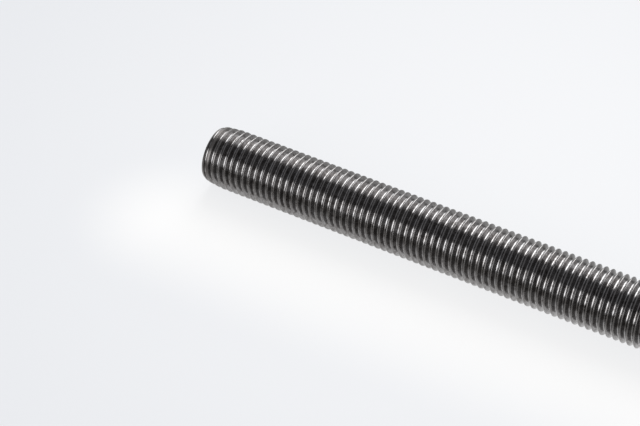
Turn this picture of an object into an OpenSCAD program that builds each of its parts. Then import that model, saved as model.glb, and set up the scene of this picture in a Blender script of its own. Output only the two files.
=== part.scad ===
// Threaded rod, one solid bar with a rolled 60 degree thread along its whole length.
// It lies along X on the plane z = 0, with its middle over the origin.

/* [Thread] */
// Outside diameter over the thread crests, in mm
crest_d = 35.6; // [34:0.1:36.5]
// Distance from one crest to the next, in mm
pitch = 4; // [3.5:0.1:4.5]
// Width of the flat on each crest, as a share of the pitch
crest_flat = 0.125; // [0.08:0.005:0.2]
// Depth from crest to root, as a share of the pitch
thread_depth = 0.6134; // [0.5:0.0001:0.65]
// Place of the first crest along the underside, counted from the left end face in turns
first_crest = 0.33; // [0:0.01:1]

/* [Rod] */
// Length over both end faces, in mm
rod_length = 300; // [150:1:300]
// Diameter of the flat face on each end, in mm
end_face_d = 31; // [26:0.1:32]
// Angle between the chamfer on each end and the axis, in degrees
chamfer_angle = 26; // [20:1:45]
// Length of the chamfer along the axis, in mm
chamfer_length = 2.4; // [1:0.1:5]
// Length behind the chamfer over which the crests grow to their full height, in mm
lead_length = 9.2; // [3:0.1:12]

/* [Detail] */
// Flat facets around each turn of the thread
facets = 16; // [12:2:16]

/* [Hidden] */
flank_angle = 30;
// The facets keep the area of the round thread, so their corners stand a little outside it.
corner_scale = sqrt(2 * PI / (facets * sin(360 / facets)));
crest_r = crest_d / 2 * corner_scale;
root_r = crest_r - thread_depth * pitch;
// One turn's section: where crest and root begin and end along the axis, in turns.
flank_run = thread_depth * tan(flank_angle);
section_x = [0, crest_flat, crest_flat + flank_run, 1 - flank_run];
section_r = [crest_r, crest_r, root_r, root_r];
// The thread runs more than a turn past both end faces, where the blank cuts it off.
spare_turns = 2;
thread_turns = ceil(rod_length / pitch) + 2 * spare_turns;
last_step = thread_turns * facets;
thread_x = (first_crest - crest_flat / 2 - spare_turns) * pitch - rod_length / 2;
// Height of the axis: the rod rests on one row of facets.
axis_z = crest_r * cos(180 / facets);
chamfer_r = min(crest_r, end_face_d / 2 + chamfer_length * tan(chamfer_angle));
blank_r = crest_r + 0.5;
steel = [0.33, 0.32, 0.31];

// Corner s of the section after a number of steps along the right-hand helix.
function corner(step, s) =
    let (
        turn = (step + 0.5) / facets,
        angle = 360 * turn - 90
    )
    [
        thread_x + pitch * (turn + section_x[s]),
        section_r[s] * cos(angle),
        section_r[s] * sin(angle)
    ];

// Number of that corner in the list of points.
function id(step, s) = 4 * step + s;

// Two triangles that close the gap between four corners.
function patch(a, b, c, d) = [[a, b, c], [a, c, d]];

// Fan of triangles from one point over a run of corners.
function fan(centre, run) = [for (i = [0 : len(run) - 2]) [centre, run[i], run[i + 1]]];

module endless_thread() {
    corners = [for (step = [0 : last_step]) for (s = [0 : 3]) corner(step, s)];
    first_centre = len(corners);
    last_centre = first_centre + 1;
    half_turn = pitch / 2;
    centres = [
        [thread_x + half_turn, 0, 0],
        [thread_x + pitch * thread_turns + half_turn, 0, 0]
    ];
    flanks = [
        for (step = [0 : last_step - 1]) for (s = [0 : 2])
            each patch(id(step, s), id(step + 1, s), id(step + 1, s + 1), id(step, s + 1))
    ];
    // The root of one turn meets the crest of the next turn.
    roots = [
        for (step = [0 : last_step - facets - 1])
            each patch(
                id(step, 3), id(step + 1, 3),
                id(step + 1 + facets, 0), id(step + facets, 0)
            )
    ];
    first_edge = concat(
        [for (step = [0 : facets]) id(step, 0)],
        [for (s = [3 : -1 : 0]) id(0, s)]
    );
    last_edge = concat(
        [for (step = [last_step - facets : last_step]) id(step, 3)],
        [for (s = [2 : -1 : 0]) id(last_step, s)],
        [id(last_step - facets, 3)]
    );
    polyhedron(
        points = concat(corners, centres),
        faces = concat(
            flanks,
            roots,
            [for (t = fan(first_centre, first_edge)) [t[0], t[2], t[1]]],
            fan(last_centre, last_edge)
        ),
        convexity = 10
    );
}

// Bar that the thread is cut to: flat faces, chamfers and the gentle lead behind them.
module chamfered_blank() {
    half_length = rod_length / 2;
    chamfer_x = half_length - chamfer_length;
    lead_x = chamfer_x - lead_length;
    rotate([90, 0, 90])
        rotate_extrude($fn = 96)
            polygon([
                [0, -half_length],
                [end_face_d / 2, -half_length],
                [chamfer_r, -chamfer_x],
                [crest_r, -lead_x],
                [blank_r, -lead_x],
                [blank_r, lead_x],
                [crest_r, lead_x],
                [chamfer_r, chamfer_x],
                [end_face_d / 2, half_length],
                [0, half_length]
            ]);
}

module threaded_rod() {
    color(steel)
        translate([0, 0, axis_z])
            intersection() {
                endless_thread();
                chamfered_blank();
            }
}

threaded_rod();
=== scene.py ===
import math
import random
import bmesh
import bpy
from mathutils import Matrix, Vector, kdtree, noise


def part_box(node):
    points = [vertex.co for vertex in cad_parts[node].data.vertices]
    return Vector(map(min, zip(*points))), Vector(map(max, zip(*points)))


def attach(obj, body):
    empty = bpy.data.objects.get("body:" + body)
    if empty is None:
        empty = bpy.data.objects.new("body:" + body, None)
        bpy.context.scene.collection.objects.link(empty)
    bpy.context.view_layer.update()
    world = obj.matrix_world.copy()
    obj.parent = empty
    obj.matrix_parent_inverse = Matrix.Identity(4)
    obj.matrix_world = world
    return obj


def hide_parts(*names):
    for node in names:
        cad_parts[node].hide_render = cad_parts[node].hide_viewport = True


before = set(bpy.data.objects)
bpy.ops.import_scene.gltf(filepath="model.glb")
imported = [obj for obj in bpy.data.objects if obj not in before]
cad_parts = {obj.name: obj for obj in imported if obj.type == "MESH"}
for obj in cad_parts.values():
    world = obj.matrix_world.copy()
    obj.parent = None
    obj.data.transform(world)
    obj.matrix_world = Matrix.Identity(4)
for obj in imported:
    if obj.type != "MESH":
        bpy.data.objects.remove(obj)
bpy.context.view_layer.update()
rodLow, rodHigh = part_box("threaded_rod")
mm = 0.001
print("frame loaded")


# Direction outwards from the object: azimuth 0 is to the front (-Y), 90 is to the right (+X).
def direction(azimuth, elevation):
    turn = math.radians(azimuth)
    rise = math.radians(elevation)
    return Vector((math.sin(turn) * math.cos(rise), -math.cos(turn) * math.cos(rise), math.sin(rise)))


# sRGB hex colour to the linear values that the shaders want.
def linear(code):
    channels = [int(code[i:i + 2], 16) / 255 for i in (1, 3, 5)]
    return [c / 12.92 if c <= 0.04045 else ((c + 0.055) / 1.055) ** 2.4 for c in channels] + [1]


# Adds one node, with plain settings, socket values and links to other nodes' outputs.
def addNode(tree, kind, values=None, links=None, **settings):
    node = tree.nodes.new(kind)
    for name, value in settings.items():
        setattr(node, name, value)
    for name, value in (values or {}).items():
        node.inputs[name].default_value = value
    for name, socket in (links or {}).items():
        tree.links.new(socket, node.inputs[name])
    return node


def emptyMaterial(name):
    material = bpy.data.materials.new(name)
    material.use_nodes = True
    material.node_tree.nodes.clear()
    return material


# ---- camera
view = {
    "azimuth": 29.60,
    "elevation": 42.50,
    "distance": 1180.3 * mm,
    "lens": 118.8,                   # lens and sensor in mm
    "sensor": 36,
    "aim": (-72.65 * mm, -14.74 * mm, 17.8 * mm),
}


def makeCamera():
    data = bpy.data.cameras.new("camera")
    data.lens = view["lens"]
    data.sensor_width = view["sensor"]
    data.clip_start = 0.05
    data.clip_end = 50
    camera = bpy.data.objects.new("camera", data)
    bpy.context.scene.collection.objects.link(camera)
    back = direction(view["azimuth"], view["elevation"])
    camera.location = Vector(view["aim"]) + back * view["distance"]
    camera.rotation_mode = "QUATERNION"
    camera.rotation_quaternion = (-back).to_track_quat("-Z", "Y")
    bpy.context.scene.camera = camera


makeCamera()
print("camera placed")

# ---- the rod
rod = {
    "left": rodLow.x,
    "right": rodHigh.x,
    "crestRadius": 17.8 * mm,
    "pitch": 4 * mm,
    "threadDepth": 0.6134,           # crest to root, in pitches
    "crestFlat": 0.125,              # in pitches
    "flankAngle": 30,                # between a flank and a plane square to the axis
    "firstCrest": 0.33,              # along the underside, in pitches from the left end
    "rootRound": 0.03,               # reach of the round at the foot of each flank, in pitches
    "rootSegments": 2,
    "crestRound": 0.06,              # the same at the top
    "crestSegments": 3,
    "stepsPerTurn": 72,
    "spareTurns": 2,
    "endFaceRadius": 15.5 * mm,
    "rimWidth": 0.5 * mm,
    "chamferLength": 2.4 * mm,
    "chamferAngle": 26,
    "chamferCuts": 7,                # cuts in each long edge that a chamfer crosses
    "longEdge": 0.3 * mm,            # measured along the rod
    "leadLength": 9.2 * mm,          # the crests grow to full height over this length
    "waviness": 0.042 * mm,          # how far a rolled crest wanders from true
    "wanderFrom": 0.6,               # share of the thread's height from which it wanders
    "wanderInwards": 0.8,            # shift inwards, in wavinesses, so that few crests stand proud
    "rippleLength": 2.6 * mm,
    "swellLength": 9 * mm,
    "swellShare": 0.6,               # height of the long swell, in wavinesses
    "nicks": 130,
    "nickFrom": 0.9,                 # share of the thread's height from which nicks are made
    "nickReach": (0.9, 1.9),         # mm
    "nickDepth": (0.08, 0.28),       # mm
    "nickSeed": 11,
    "turnWeld": 0.004 * mm,          # the seams between turns close within this
    "endWeld": 0.002 * mm,           # and what the cuts at the ends leave, within this
    "samePlace": 0.001 * mm,         # two places nearer than this count as one
    "rimWithin": 0.01 * mm,          # how near the rim's edges are to the end plane
}
axisHeight = rod["crestRadius"]
threadHeight = rod["threadDepth"] * rod["pitch"]
rootRadius = rod["crestRadius"] - threadHeight
flankSlope = math.tan(math.radians(rod["flankAngle"]))


def onlyVerts(geometry):
    return [item for item in geometry if isinstance(item, bmesh.types.BMVert)]


def axisDistance(vert):
    return math.hypot(vert.co.y, vert.co.z - axisHeight)


def endDistance(vert):
    return min(vert.co.x - rod["left"], rod["right"] - vert.co.x)


# Pushes a vertex in or out from the axis.
def moveRadially(vert, distance):
    radius = axisDistance(vert)
    factor = (radius + distance) / radius
    vert.co.y *= factor
    vert.co.z = axisHeight + (vert.co.z - axisHeight) * factor


def chamferRadius(fromEnd):
    return rod["endFaceRadius"] + fromEnd * math.tan(math.radians(rod["chamferAngle"]))


# Radius that the crests have grown to at a distance from the nearer end.
def leadRadius(fromEnd):
    start = chamferRadius(rod["chamferLength"])
    grown = min(1, max(0, (fromEnd - rod["chamferLength"]) / rod["leadLength"]))
    return start + (rod["crestRadius"] - start) * grown


# Section of one pitch, root middle to root middle, as a wire on the underside of the bar.
def threadSection(mesh, x):
    pitch = rod["pitch"]
    crest = rod["crestRadius"]
    halfCrest = rod["crestFlat"] / 2 * pitch
    foot = halfCrest + (crest - rootRadius) * flankSlope
    corners = [(-pitch / 2, rootRadius), (-foot, rootRadius), (-halfCrest, crest)]
    corners += [(halfCrest, crest), (foot, rootRadius), (pitch / 2, rootRadius)]
    verts = [mesh.verts.new((x + along, 0, axisHeight - radius)) for along, radius in corners]
    for pair in zip(verts, verts[1:]):
        mesh.edges.new(pair)
    for offset, reach, segments in (
        (foot, rod["rootRound"], rod["rootSegments"]),
        (halfCrest, rod["crestRound"], rod["crestSegments"]),
    ):
        bends = [vert for vert in mesh.verts if abs(abs(vert.co.x - x) - offset) < rod["samePlace"]]
        bmesh.ops.bevel(
            mesh, geom=bends, offset=reach * pitch, offset_type="OFFSET",
            segments=segments, profile=0.5, affect="VERTICES", material=-1,
        )


# Near the ends the dies find less metal, so the crests stay lower and broader between true flanks.
def lowerThreadEnds(mesh):
    for vert in mesh.verts:
        drop = axisDistance(vert) - leadRadius(endDistance(vert))
        if drop > 0:
            turned = math.atan2(vert.co.y, axisHeight - vert.co.z) / math.tau
            offset = (vert.co.x - rod["left"]) / rod["pitch"] - rod["firstCrest"] - turned
            side = math.copysign(1, offset - round(offset))
            moveRadially(vert, -drop)
            vert.co.x += side * drop * flankSlope


# Rolled crests wander a little, and knocks in the rack leave small nicks in them.
def roughenCrests(mesh):
    low = rod["wanderFrom"]
    crestVerts = []
    for vert in mesh.verts:
        height = (axisDistance(vert) - rod["crestRadius"] + threadHeight) / threadHeight
        if height > low:
            ripple = noise.noise(vert.co / rod["rippleLength"])
            swell = noise.noise(vert.co / rod["swellLength"])
            wander = ripple + rod["swellShare"] * swell - rod["wanderInwards"]
            moveRadially(vert, wander * rod["waviness"] * (height - low) / (1 - low))
        if height > rod["nickFrom"]:
            crestVerts.append(vert)
    tree = kdtree.KDTree(len(crestVerts))
    for index, vert in enumerate(crestVerts):
        tree.insert(vert.co, index)
    tree.balance()
    chance = random.Random(rod["nickSeed"])
    for _ in range(rod["nicks"]):
        centre = chance.choice(crestVerts).co.copy()
        reach = chance.uniform(*rod["nickReach"]) * mm
        bite = chance.uniform(*rod["nickDepth"]) * mm
        for _, index, away in tree.find_range(centre, reach):
            moveRadially(crestVerts[index], -bite * (1 - away / reach))


# Cuts both ends to a cone; the flanks there are divided first, so that the cut has an edge.
def cutChamfers(mesh):
    longEdges = [
        edge for edge in mesh.edges
        if abs(edge.verts[0].co.x - edge.verts[1].co.x) > rod["longEdge"]
        and min(endDistance(vert) for vert in edge.verts) < rod["chamferLength"]
    ]
    bmesh.ops.subdivide_edges(mesh, edges=longEdges, cuts=rod["chamferCuts"], use_grid_fill=True)
    for vert in mesh.verts:
        over = axisDistance(vert) - chamferRadius(endDistance(vert))
        if over > 0:
            moveRadially(vert, -over)


# Flat sawn faces; a narrow flat ring at the rim keeps the shading inside it even.
def closeEnds(mesh):
    for x in (rod["left"], rod["right"]):
        rim = [
            edge for edge in mesh.edges
            if edge.is_boundary and abs(edge.verts[0].co.x - x) < rod["rimWithin"]
        ]
        face = bmesh.ops.contextual_create(mesh, geom=rim)["faces"][0]
        face.material_index = 1
        bmesh.ops.inset_region(mesh, faces=[face], thickness=rod["rimWidth"], depth=0)


def makeRod():
    pitch = rod["pitch"]
    mesh = bmesh.new()
    start = rod["left"] + (rod["firstCrest"] - rod["spareTurns"]) * pitch
    threadSection(mesh, start)
    # One turn of the helix, which doesn't meet its own start, and then copies of it end to end.
    bmesh.ops.spin(
        mesh, geom=mesh.verts[:] + mesh.edges[:], cent=(0, 0, axisHeight), axis=(1, 0, 0),
        dvec=(pitch / rod["stepsPerTurn"], 0, 0), angle=math.tau, steps=rod["stepsPerTurn"],
    )
    turns = 1
    while turns * pitch < rod["right"] - rod["left"] + 2 * rod["spareTurns"] * pitch:
        copied = bmesh.ops.duplicate(mesh, geom=mesh.verts[:] + mesh.edges[:] + mesh.faces[:])
        bmesh.ops.translate(mesh, verts=onlyVerts(copied["geom"]), vec=(turns * pitch, 0, 0))
        turns *= 2
    bmesh.ops.remove_doubles(mesh, verts=mesh.verts[:], dist=rod["turnWeld"])
    lowerThreadEnds(mesh)
    for x, way in ((rod["left"], -1), (rod["right"], 1)):
        bmesh.ops.bisect_plane(
            mesh, geom=mesh.verts[:] + mesh.edges[:] + mesh.faces[:], dist=rod["samePlace"],
            plane_co=(x, 0, 0), plane_no=(way, 0, 0), clear_outer=True,
        )
    roughenCrests(mesh)
    cutChamfers(mesh)
    closeEnds(mesh)
    bmesh.ops.remove_doubles(mesh, verts=mesh.verts[:], dist=rod["endWeld"])
    bmesh.ops.recalc_face_normals(mesh, faces=mesh.faces[:])
    data = bpy.data.meshes.new("rolled_thread_bar")
    mesh.to_mesh(data)
    mesh.free()
    data.shade_smooth()
    piece = bpy.data.objects.new("rolled_thread_bar", data)
    bpy.context.scene.collection.objects.link(piece)
    # The wide faces set the shading normals, so that flanks and root look flat between their rounds.
    piece.modifiers.new("flat_flanks", "WEIGHTED_NORMAL")
    return piece


steel = {
    "warmColour": "#9d9a98",
    "coolColour": "#97989a",
    "patchSize": 14 * mm,            # warm and cool patches
    "filmColour": "#797777",         # thin dark film, left in streaks
    "filmRange": (0.3, 0.65),        # levels of a pattern between which a layer comes in
    "blotchColour": "#5d5957",       # faint oily blotches
    "blotchRange": (0.45, 0.64),
    "blotchShare": 0.72,
    "blotchSize": 2.6 * mm,
    "speckColour": "#3a3735",
    "speckRange": (0.62, 0.76),
    "speckSize": 1.1 * mm,
    "crestColour": "#898786",        # the dies never press the crests, so they stay dull
    "dullRange": (0.6, 0.45),
    "crestSkin": (0.4 * mm, 0.2 * mm),             # below the crest: where that starts, and is full
    "rawColour": "#6d6a68",          # skin of the bar, left on the broad crests near the ends
    "pressedRoughness": 0.15,
    "pressedEdge": (0.1 * mm, 0.4 * mm),           # heights over the root where its polish fades
    "flankRoughness": 0.2,
    "crestRoughness": 0.21,
    "rawRoughness": 0.32,
    "streakWidth": 0.3 * mm,         # drawn lines along the thread, coarser than the real ones
    "streakLength": 9 * mm,
    "streakDepth": 0.006 * mm,
    "grooveWay": 1.4,                # about the length of a groove's two flanks, in pitches
    "grainSize": 0.4 * mm,           # coarser than the real grain, so that it shows
    "grainDepth": 0.003 * mm,
}


# Streaks that follow the thread: fine across the groove, long along it.
def threadStreaks(tree, axes):
    # Place across the groove as an angle, which stays the same all along the thread.
    angle = addNode(
        tree, "ShaderNodeMath", links={0: axes["Z"], 1: axes["Y"]}, operation="ARCTAN2",
    ).outputs[0]
    advance = addNode(
        tree, "ShaderNodeMath", values={1: math.tau / rod["pitch"]}, links={0: axes["X"]},
        operation="MULTIPLY",
    ).outputs[0]
    groove = addNode(
        tree, "ShaderNodeMath", links={0: advance, 1: angle}, operation="SUBTRACT",
    ).outputs[0]
    grooveX = addNode(tree, "ShaderNodeMath", links={0: groove}, operation="COSINE").outputs[0]
    grooveY = addNode(tree, "ShaderNodeMath", links={0: groove}, operation="SINE").outputs[0]
    threadPlace = addNode(
        tree, "ShaderNodeCombineXYZ", links={0: grooveX, 1: grooveY, 2: axes["X"]},
    ).outputs[0]
    lines = rod["pitch"] * steel["grooveWay"] / math.tau / steel["streakWidth"]
    streakPlace = addNode(
        tree, "ShaderNodeVectorMath", values={1: (lines, lines, 1 / steel["streakLength"])},
        links={0: threadPlace}, operation="MULTIPLY",
    ).outputs[0]
    throughBar = addNode(
        tree, "ShaderNodeMath", values={1: 1 / steel["streakLength"]}, links={0: axes["Y"]},
        operation="MULTIPLY",
    ).outputs[0]
    return addNode(
        tree, "ShaderNodeTexNoise", values={"Scale": 1, "Detail": 2},
        links={"Vector": streakPlace, "W": throughBar}, noise_dimensions="4D",
    ).outputs["Fac"]


# Share that is one on the crests. They stand lower near the ends, and lower still on the chamfers.
def crestShare(tree, radius, fromEnd):
    chamfer = rod["chamferLength"]
    leadEnd = chamfer + rod["leadLength"]
    grown = addNode(
        tree, "ShaderNodeMapRange",
        values={1: chamfer, 2: leadEnd, 3: chamferRadius(chamfer), 4: rod["crestRadius"]},
        links={0: fromEnd},
    ).outputs[0]
    chamfered = addNode(
        tree, "ShaderNodeMapRange",
        values={1: 0, 2: chamfer, 3: chamferRadius(chamfer) - chamferRadius(0), 4: 0},
        links={0: fromEnd},
    ).outputs[0]
    crestHere = addNode(
        tree, "ShaderNodeMath", links={0: grown, 1: chamfered}, operation="SUBTRACT",
    ).outputs[0]
    belowCrest = addNode(
        tree, "ShaderNodeMath", links={0: crestHere, 1: radius}, operation="SUBTRACT",
    ).outputs[0]
    deep, shallow = steel["crestSkin"]
    return addNode(
        tree, "ShaderNodeMapRange", values={1: deep, 2: shallow}, links={0: belowCrest},
    ).outputs[0]


# Bare carbon steel, thread rolled cold: dark, a little oily, burnished where the dies pressed it.
def makeSteel():
    material = emptyMaterial("bare_rolled_steel")
    tree = material.node_tree
    place = addNode(tree, "ShaderNodeTexCoord").outputs["Object"]
    offAxis = addNode(
        tree, "ShaderNodeVectorMath", values={1: (0, 0, axisHeight)}, links={0: place},
        operation="SUBTRACT",
    ).outputs[0]
    across = addNode(
        tree, "ShaderNodeVectorMath", values={1: (0, 1, 1)}, links={0: offAxis},
        operation="MULTIPLY",
    ).outputs[0]
    radius = addNode(
        tree, "ShaderNodeVectorMath", links={0: across}, operation="LENGTH",
    ).outputs["Value"]
    axes = addNode(tree, "ShaderNodeSeparateXYZ", links={0: offAxis}).outputs
    offMiddle = addNode(
        tree, "ShaderNodeMath", links={0: axes["X"]}, operation="ABSOLUTE",
    ).outputs[0]
    fromEnd = addNode(
        tree, "ShaderNodeMath", values={0: rod["right"]}, links={1: offMiddle},
        operation="SUBTRACT",
    ).outputs[0]
    patterns = {"streaks": threadStreaks(tree, axes)}
    for name, size, detail in (
        ("patches", steel["patchSize"], 3),
        ("blotches", steel["blotchSize"], 3),
        ("specks", steel["speckSize"], 3),
        ("grain", steel["grainSize"], 2),
    ):
        patterns[name] = addNode(
            tree, "ShaderNodeTexNoise", values={"Scale": 1 / size, "Detail": detail},
            links={"Vector": place},
        ).outputs["Fac"]

    # How much of each layer lies at a point.
    shares = {}
    for name, pattern, (start, full), most in (
        ("film", "streaks", steel["filmRange"], 1),
        ("blotches", "blotches", steel["blotchRange"], steel["blotchShare"]),
        ("specks", "specks", steel["speckRange"], 1),
        ("unworn", "grain", steel["dullRange"], 1),
    ):
        shares[name] = addNode(
            tree, "ShaderNodeMapRange", values={1: start, 2: full, 4: most},
            links={0: patterns[pattern]},
        ).outputs[0]
    polished, unpolished = steel["pressedEdge"]
    offRoot = addNode(
        tree, "ShaderNodeMapRange", values={1: rootRadius + polished, 2: rootRadius + unpolished},
        links={0: radius},
    ).outputs[0]
    onCrest = crestShare(tree, radius, fromEnd)
    flankFilm = addNode(
        tree, "ShaderNodeMath", links={0: shares["film"], 1: offRoot}, operation="MULTIPLY",
    ).outputs[0]
    dull = addNode(
        tree, "ShaderNodeMath", links={0: onCrest, 1: shares["unworn"]}, operation="MULTIPLY",
    ).outputs[0]
    raw = addNode(
        tree, "ShaderNodeMapRange",
        values={1: rod["chamferLength"] + rod["leadLength"], 2: rod["chamferLength"]},
        links={0: fromEnd, 4: onCrest},
    ).outputs[0]

    colour = addNode(
        tree, "ShaderNodeMix",
        values={6: linear(steel["coolColour"]), 7: linear(steel["warmColour"])},
        links={0: patterns["patches"]}, data_type="RGBA",
    ).outputs[2]
    for name, share in (
        ("filmColour", flankFilm),
        ("blotchColour", shares["blotches"]),
        ("speckColour", shares["specks"]),
        ("crestColour", dull),
        ("rawColour", raw),
    ):
        colour = addNode(
            tree, "ShaderNodeMix", values={7: linear(steel[name])}, links={0: share, 6: colour},
            data_type="RGBA",
        ).outputs[2]
    roughness = addNode(
        tree, "ShaderNodeMapRange",
        values={3: steel["pressedRoughness"], 4: steel["flankRoughness"]}, links={0: offRoot},
    ).outputs[0]
    for name, share in (("crestRoughness", dull), ("rawRoughness", raw)):
        roughness = addNode(
            tree, "ShaderNodeMapRange", values={4: steel[name]}, links={0: share, 3: roughness},
        ).outputs[0]
    grainBump = addNode(
        tree, "ShaderNodeBump", values={"Strength": 1, "Distance": steel["grainDepth"]},
        links={"Height": patterns["grain"]},
    ).outputs[0]
    streakBump = addNode(
        tree, "ShaderNodeBump", values={"Strength": 1, "Distance": steel["streakDepth"]},
        links={"Height": patterns["streaks"], "Normal": grainBump},
    ).outputs[0]
    shader = addNode(
        tree, "ShaderNodeBsdfPrincipled", values={"Metallic": 1},
        links={"Base Color": colour, "Roughness": roughness, "Normal": streakBump},
    )
    addNode(tree, "ShaderNodeOutputMaterial", links={"Surface": shader.outputs[0]})
    return material


sawn = {
    "colour": "#a09e9b",
    "lineColour": "#5f5c59",
    "lineRange": (0.85, 1.3),        # levels of marks and stains together, from clean to dark
    "roughness": (0.3, 0.46),        # clean and stained
    "lineWidth": 0.35 * mm,          # coarser than real saw marks, so that they show
    "lineLength": 14 * mm,
    "lineDepth": 0.02 * mm,
    "stainSize": 5 * mm,
}


# Sawn steel: straight fine marks across a flat face, brighter than the rolled skin and less smooth.
def makeSawnSteel():
    material = emptyMaterial("sawn_steel")
    tree = material.node_tree
    place = addNode(tree, "ShaderNodeTexCoord").outputs["Object"]
    linePlace = addNode(
        tree, "ShaderNodeVectorMath",
        values={1: (0, 1 / sawn["lineLength"], 1 / sawn["lineWidth"])}, links={0: place},
        operation="MULTIPLY",
    ).outputs[0]
    marks = addNode(
        tree, "ShaderNodeTexNoise", values={"Scale": 1, "Detail": 2}, links={"Vector": linePlace},
    ).outputs["Fac"]
    stains = addNode(
        tree, "ShaderNodeTexNoise", values={"Scale": 1 / sawn["stainSize"], "Detail": 3},
        links={"Vector": place},
    ).outputs["Fac"]
    both = addNode(
        tree, "ShaderNodeMath", links={0: marks, 1: stains}, operation="ADD",
    ).outputs[0]
    start, full = sawn["lineRange"]
    dark = addNode(
        tree, "ShaderNodeMapRange", values={1: start, 2: full}, links={0: both},
    ).outputs[0]
    colour = addNode(
        tree, "ShaderNodeMix", values={6: linear(sawn["colour"]), 7: linear(sawn["lineColour"])},
        links={0: dark}, data_type="RGBA",
    ).outputs[2]
    clean, stained = sawn["roughness"]
    roughness = addNode(
        tree, "ShaderNodeMapRange", values={3: clean, 4: stained}, links={0: stains},
    ).outputs[0]
    bump = addNode(
        tree, "ShaderNodeBump", values={"Strength": 1, "Distance": sawn["lineDepth"]},
        links={"Height": marks},
    ).outputs[0]
    shader = addNode(
        tree, "ShaderNodeBsdfPrincipled", values={"Metallic": 1},
        links={"Base Color": colour, "Roughness": roughness, "Normal": bump},
    )
    addNode(tree, "ShaderNodeOutputMaterial", links={"Surface": shader.outputs[0]})
    return material


piece = makeRod()
piece.data.materials.append(makeSteel())
piece.data.materials.append(makeSawnSteel())
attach(piece, "root")
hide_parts("threaded_rod")
print("rod made:", len(piece.data.polygons), "faces")

# ---- studio
studio = {
    "floorReach": 6,                 # m, from the middle to each side
    # Paper, paper edge and pool: a painted pool of light on the floor, lightest to the right behind
    # the rod and darker towards the edges.
    "paper": "#f5f6f8",              # pale floor, lightest to the right behind the rod
    "paperEdge": "#e3e5e9",
    "paintedPoolCentre": (60 * mm, 100 * mm, 0),
    "paintedPoolRadius": 620 * mm,
    # Painted light: a lighter band on the floor along the front of the rod that fills in the rod's
    # shadow there. The metal also sees this colour beneath the rod.
    "glow": "#fdfdfd",               # lighter band on the floor along the front of the rod
    "paintedLightEnds": ((-155 * mm, -45 * mm, 0), (155 * mm, -45 * mm, 0)),
    "paintedLightReach": 62 * mm,
    # Painted reflection: the sheet colour and the card are seen only by the metal. The card is
    # painted shade in the reflections, and nothing lies in front.
    "paintedSheetReflection": "#c4c4c4",      # what the metal sees of the sheet behind
    "sheetRange": (20 * mm, 60 * mm),
    "paintedShadeCard": "#969492",               # grey card that lies in front, only the metal sees it
    "paintedShadeCardEdge": -9 * mm,
    "paintedShadeCardFade": 52 * mm,
    "shadowShare": 0.14,             # share of the floor's colour that lamps make and shadows take
    "room": "#88888b",
    "sweepRange": (0.3, 0.85),       # how far behind a direction points, from room to paper
    "wallRange": (-0.6, -0.9),       # how far left it points (-X), from room to pale wall
    "wallFade": (0, 0.3),            # how far behind it points, from no wall to all of it
    "wallShare": 0.5,
}
# The lamps hang parallel to the rod; turn counts from the floor in front, over the top.
lamps = {
    "backLamp": {
        "turn": 130, "along": -0.48, "distance": 2.5, "width": 2.1, "height": 2.8, "radiance": 4.9,
        "softEdge": 0.6,             # share of its half width over which the light fades out
    },
    "frontLamp": {
        "turn": 25, "along": -0.62, "distance": 2.5, "width": 2.4, "height": 2.7, "radiance": 3.7,
        "softEdge": 0.6,
    },
    "sweepLamp": {
        "turn": 160, "along": 0.4, "distance": 2.5, "width": 3.8, "height": 1.5, "radiance": 2.5,
        "softEdge": 0.6,
    },
}


def makeFloor():
    mesh = bmesh.new()
    bmesh.ops.create_grid(mesh, x_segments=1, y_segments=1, size=studio["floorReach"])
    data = bpy.data.meshes.new("floor")
    mesh.to_mesh(data)
    mesh.free()
    floor = bpy.data.objects.new("floor", data)
    bpy.context.scene.collection.objects.link(floor)
    data.materials.append(makePaper())


# Share that fades from one at a centre to nothing at some distance from it.
def fade(tree, place, centre, reach):
    offset = addNode(
        tree, "ShaderNodeVectorMath", values={1: centre}, links={0: place}, operation="DISTANCE",
    ).outputs["Value"]
    return addNode(
        tree, "ShaderNodeMapRange", values={1: reach, 2: 0}, links={0: offset},
        interpolation_type="SMOOTHSTEP",
    ).outputs[0]


# Share of the painted light band: one on the line between its two ends, and fading round it.
def paintedLightBand(tree, place):
    leftEnd, rightEnd = studio["paintedLightEnds"]
    length = rightEnd[0] - leftEnd[0]
    fromLeft = addNode(
        tree, "ShaderNodeVectorMath", values={1: leftEnd}, links={0: place}, operation="SUBTRACT",
    ).outputs[0]
    # The part of the way that lies along the band is taken off, and the distance to the band is left.
    alongBand = addNode(
        tree, "ShaderNodeVectorMath", values={1: (0, 0, 0)}, links={0: fromLeft},
        operation="MAXIMUM",
    ).outputs[0]
    onBand = addNode(
        tree, "ShaderNodeVectorMath", values={1: (length, 0, 0)}, links={0: alongBand},
        operation="MINIMUM",
    ).outputs[0]
    offBand = addNode(
        tree, "ShaderNodeVectorMath", links={0: fromLeft, 1: onBand}, operation="SUBTRACT",
    ).outputs[0]
    return fade(tree, offBand, (0, 0, 0), studio["paintedLightReach"])


# Painted reflection: what the metal sees of the floor is painted, pale beneath it, greyer behind, and
# a grey card in front that puts painted shade into the reflections of the lower flanks.
def paintedFloorReflection(tree, place):
    depth = addNode(tree, "ShaderNodeSeparateXYZ", links={0: place}).outputs["Y"]
    near, far = studio["sheetRange"]
    behind = addNode(
        tree, "ShaderNodeMapRange", values={1: near, 2: far}, links={0: depth},
        interpolation_type="SMOOTHSTEP",
    ).outputs[0]
    onPaintedShadeCard = addNode(
        tree, "ShaderNodeMapRange",
        values={1: studio["paintedShadeCardEdge"], 2: studio["paintedShadeCardEdge"] - studio["paintedShadeCardFade"]},
        links={0: depth}, interpolation_type="SMOOTHSTEP",
    ).outputs[0]
    sheet = addNode(
        tree, "ShaderNodeMix",
        values={6: linear(studio["glow"]), 7: linear(studio["paintedSheetReflection"])},
        links={0: behind}, data_type="RGBA",
    ).outputs[2]
    return addNode(
        tree, "ShaderNodeMix", values={7: linear(studio["paintedShadeCard"])}, links={0: onPaintedShadeCard, 6: sheet},
        data_type="RGBA",
    ).outputs[2]
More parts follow.
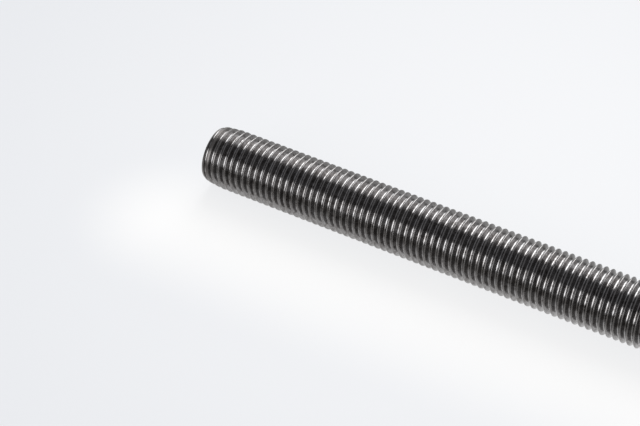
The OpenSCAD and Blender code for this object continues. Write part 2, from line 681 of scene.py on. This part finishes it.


# Matt paper that the camera sees as a pale field with a painted pool of light and a painted lighter
# band along the rod, and with only a soft share of the shadow.
def makePaper():
    material = emptyMaterial("matt_paper")
    tree = material.node_tree
    place = addNode(tree, "ShaderNodeTexCoord").outputs["Object"]
    # Painted pool of light: the paper is lighter near the pool's centre and darker towards its edge.
    paintedPool = fade(tree, place, studio["paintedPoolCentre"], studio["paintedPoolRadius"])
    sheet = addNode(
        tree, "ShaderNodeMix",
        values={6: linear(studio["paperEdge"]), 7: linear(studio["paper"])},
        links={0: paintedPool}, data_type="RGBA",
    ).outputs[2]
    # Painted light: the lighter band along the front of the rod is laid over the paper where the
    # rod's shadow falls.
    colour = addNode(
        tree, "ShaderNodeMix", values={7: linear(studio["glow"])},
        links={0: paintedLightBand(tree, place), 6: sheet}, data_type="RGBA",
    ).outputs[2]
    rays = addNode(tree, "ShaderNodeLightPath").outputs
    # Painted reflection: glossy rays see the painted floor reflection instead of the paper.
    seenColour = addNode(
        tree, "ShaderNodeMix",
        links={0: rays["Is Glossy Ray"], 6: colour, 7: paintedFloorReflection(tree, place)},
        data_type="RGBA",
    ).outputs[2]
    lit = addNode(tree, "ShaderNodeBsdfDiffuse", links={"Color": colour})
    even = addNode(
        tree, "ShaderNodeEmission", values={"Strength": 1}, links={"Color": seenColour},
    )
    share = addNode(
        tree, "ShaderNodeMath", values={1: 1 - studio["shadowShare"]},
        links={0: rays["Is Camera Ray"]}, operation="MULTIPLY",
    ).outputs[0]
    for ray in ("Is Glossy Ray", "Is Transmission Ray"):
        share = addNode(
            tree, "ShaderNodeMath", links={0: share, 1: rays[ray]}, operation="MAXIMUM",
        ).outputs[0]
    mixed = addNode(
        tree, "ShaderNodeMixShader", links={0: share, 1: lit.outputs[0], 2: even.outputs[0]},
    )
    addNode(tree, "ShaderNodeOutputMaterial", links={"Surface": mixed.outputs[0]})
    return material


def makeLamp(name):
    lamp = lamps[name]
    data = bpy.data.lights.new(name, "AREA")
    data.shape = "RECTANGLE"
    data.size = lamp["width"]
    data.size_y = lamp["height"]
    data.energy = lamp["radiance"] * math.pi * lamp["width"] * lamp["height"]
    data.use_nodes = True
    tree = data.node_tree
    tree.nodes.clear()
    # The place on a lamp runs from 0 to 1, so it is 0.5 from the middle to an edge.
    onLamp = addNode(tree, "ShaderNodeNewGeometry").outputs["Parametric"]
    centred = addNode(
        tree, "ShaderNodeVectorMath", values={1: (0.5, 0.5, 0)}, links={0: onLamp},
        operation="SUBTRACT",
    ).outputs[0]
    away = addNode(
        tree, "ShaderNodeVectorMath", links={0: centred}, operation="ABSOLUTE",
    ).outputs[0]
    axes = addNode(tree, "ShaderNodeSeparateXYZ", links={0: away}).outputs
    fades = [
        addNode(
            tree, "ShaderNodeMapRange", values={1: 0.5, 2: 0.5 * (1 - lamp["softEdge"])},
            links={0: axes[axis]}, interpolation_type="SMOOTHSTEP",
        ).outputs[0]
        for axis in ("X", "Y")
    ]
    strength = addNode(
        tree, "ShaderNodeMath", links={0: fades[0], 1: fades[1]}, operation="MULTIPLY",
    ).outputs[0]
    glow = addNode(tree, "ShaderNodeEmission", links={"Strength": strength})
    addNode(tree, "ShaderNodeOutputLight", links={"Surface": glow.outputs[0]})
    light = bpy.data.objects.new(name, data)
    bpy.context.scene.collection.objects.link(light)
    back = direction(0, lamp["turn"])
    light.location = back * lamp["distance"] + Vector((lamp["along"], 0, axisHeight))
    light.rotation_mode = "QUATERNION"
    light.rotation_quaternion = (-back).to_track_quat("-Z", "Y")


# Dim room, with the pale sweep of the paper low behind and a pale wall behind on the left.
def makeWorld():
    world = bpy.data.worlds.new("studio")
    bpy.context.scene.world = world
    world.use_nodes = True
    tree = world.node_tree
    tree.nodes.clear()
    place = addNode(tree, "ShaderNodeTexCoord").outputs["Generated"]
    axes = addNode(tree, "ShaderNodeSeparateXYZ", links={0: place}).outputs
    start, full = studio["sweepRange"]
    behind = addNode(
        tree, "ShaderNodeMapRange", values={1: start, 2: full}, links={0: axes["Y"]},
        interpolation_type="SMOOTHSTEP",
    ).outputs[0]
    start, full = studio["wallRange"]
    left = addNode(
        tree, "ShaderNodeMapRange", values={1: start, 2: full, 4: studio["wallShare"]},
        links={0: axes["X"]}, interpolation_type="SMOOTHSTEP",
    ).outputs[0]
    start, full = studio["wallFade"]
    leftBehind = addNode(
        tree, "ShaderNodeMapRange", values={1: start, 2: full}, links={0: axes["Y"], 4: left},
        interpolation_type="SMOOTHSTEP",
    ).outputs[0]
    pale = addNode(
        tree, "ShaderNodeMath", links={0: behind, 1: leftBehind}, operation="MAXIMUM",
    ).outputs[0]
    colour = addNode(
        tree, "ShaderNodeMix", values={6: linear(studio["room"]), 7: linear(studio["paper"])},
        links={0: pale}, data_type="RGBA",
    ).outputs[2]
    shader = addNode(
        tree, "ShaderNodeBackground", values={"Strength": 1}, links={"Color": colour},
    )
    addNode(tree, "ShaderNodeOutputWorld", links={"Surface": shader.outputs[0]})


makeFloor()
for lampName in lamps:
    makeLamp(lampName)
makeWorld()
bpy.context.scene.view_settings.view_transform = "Standard"
print("studio lit")
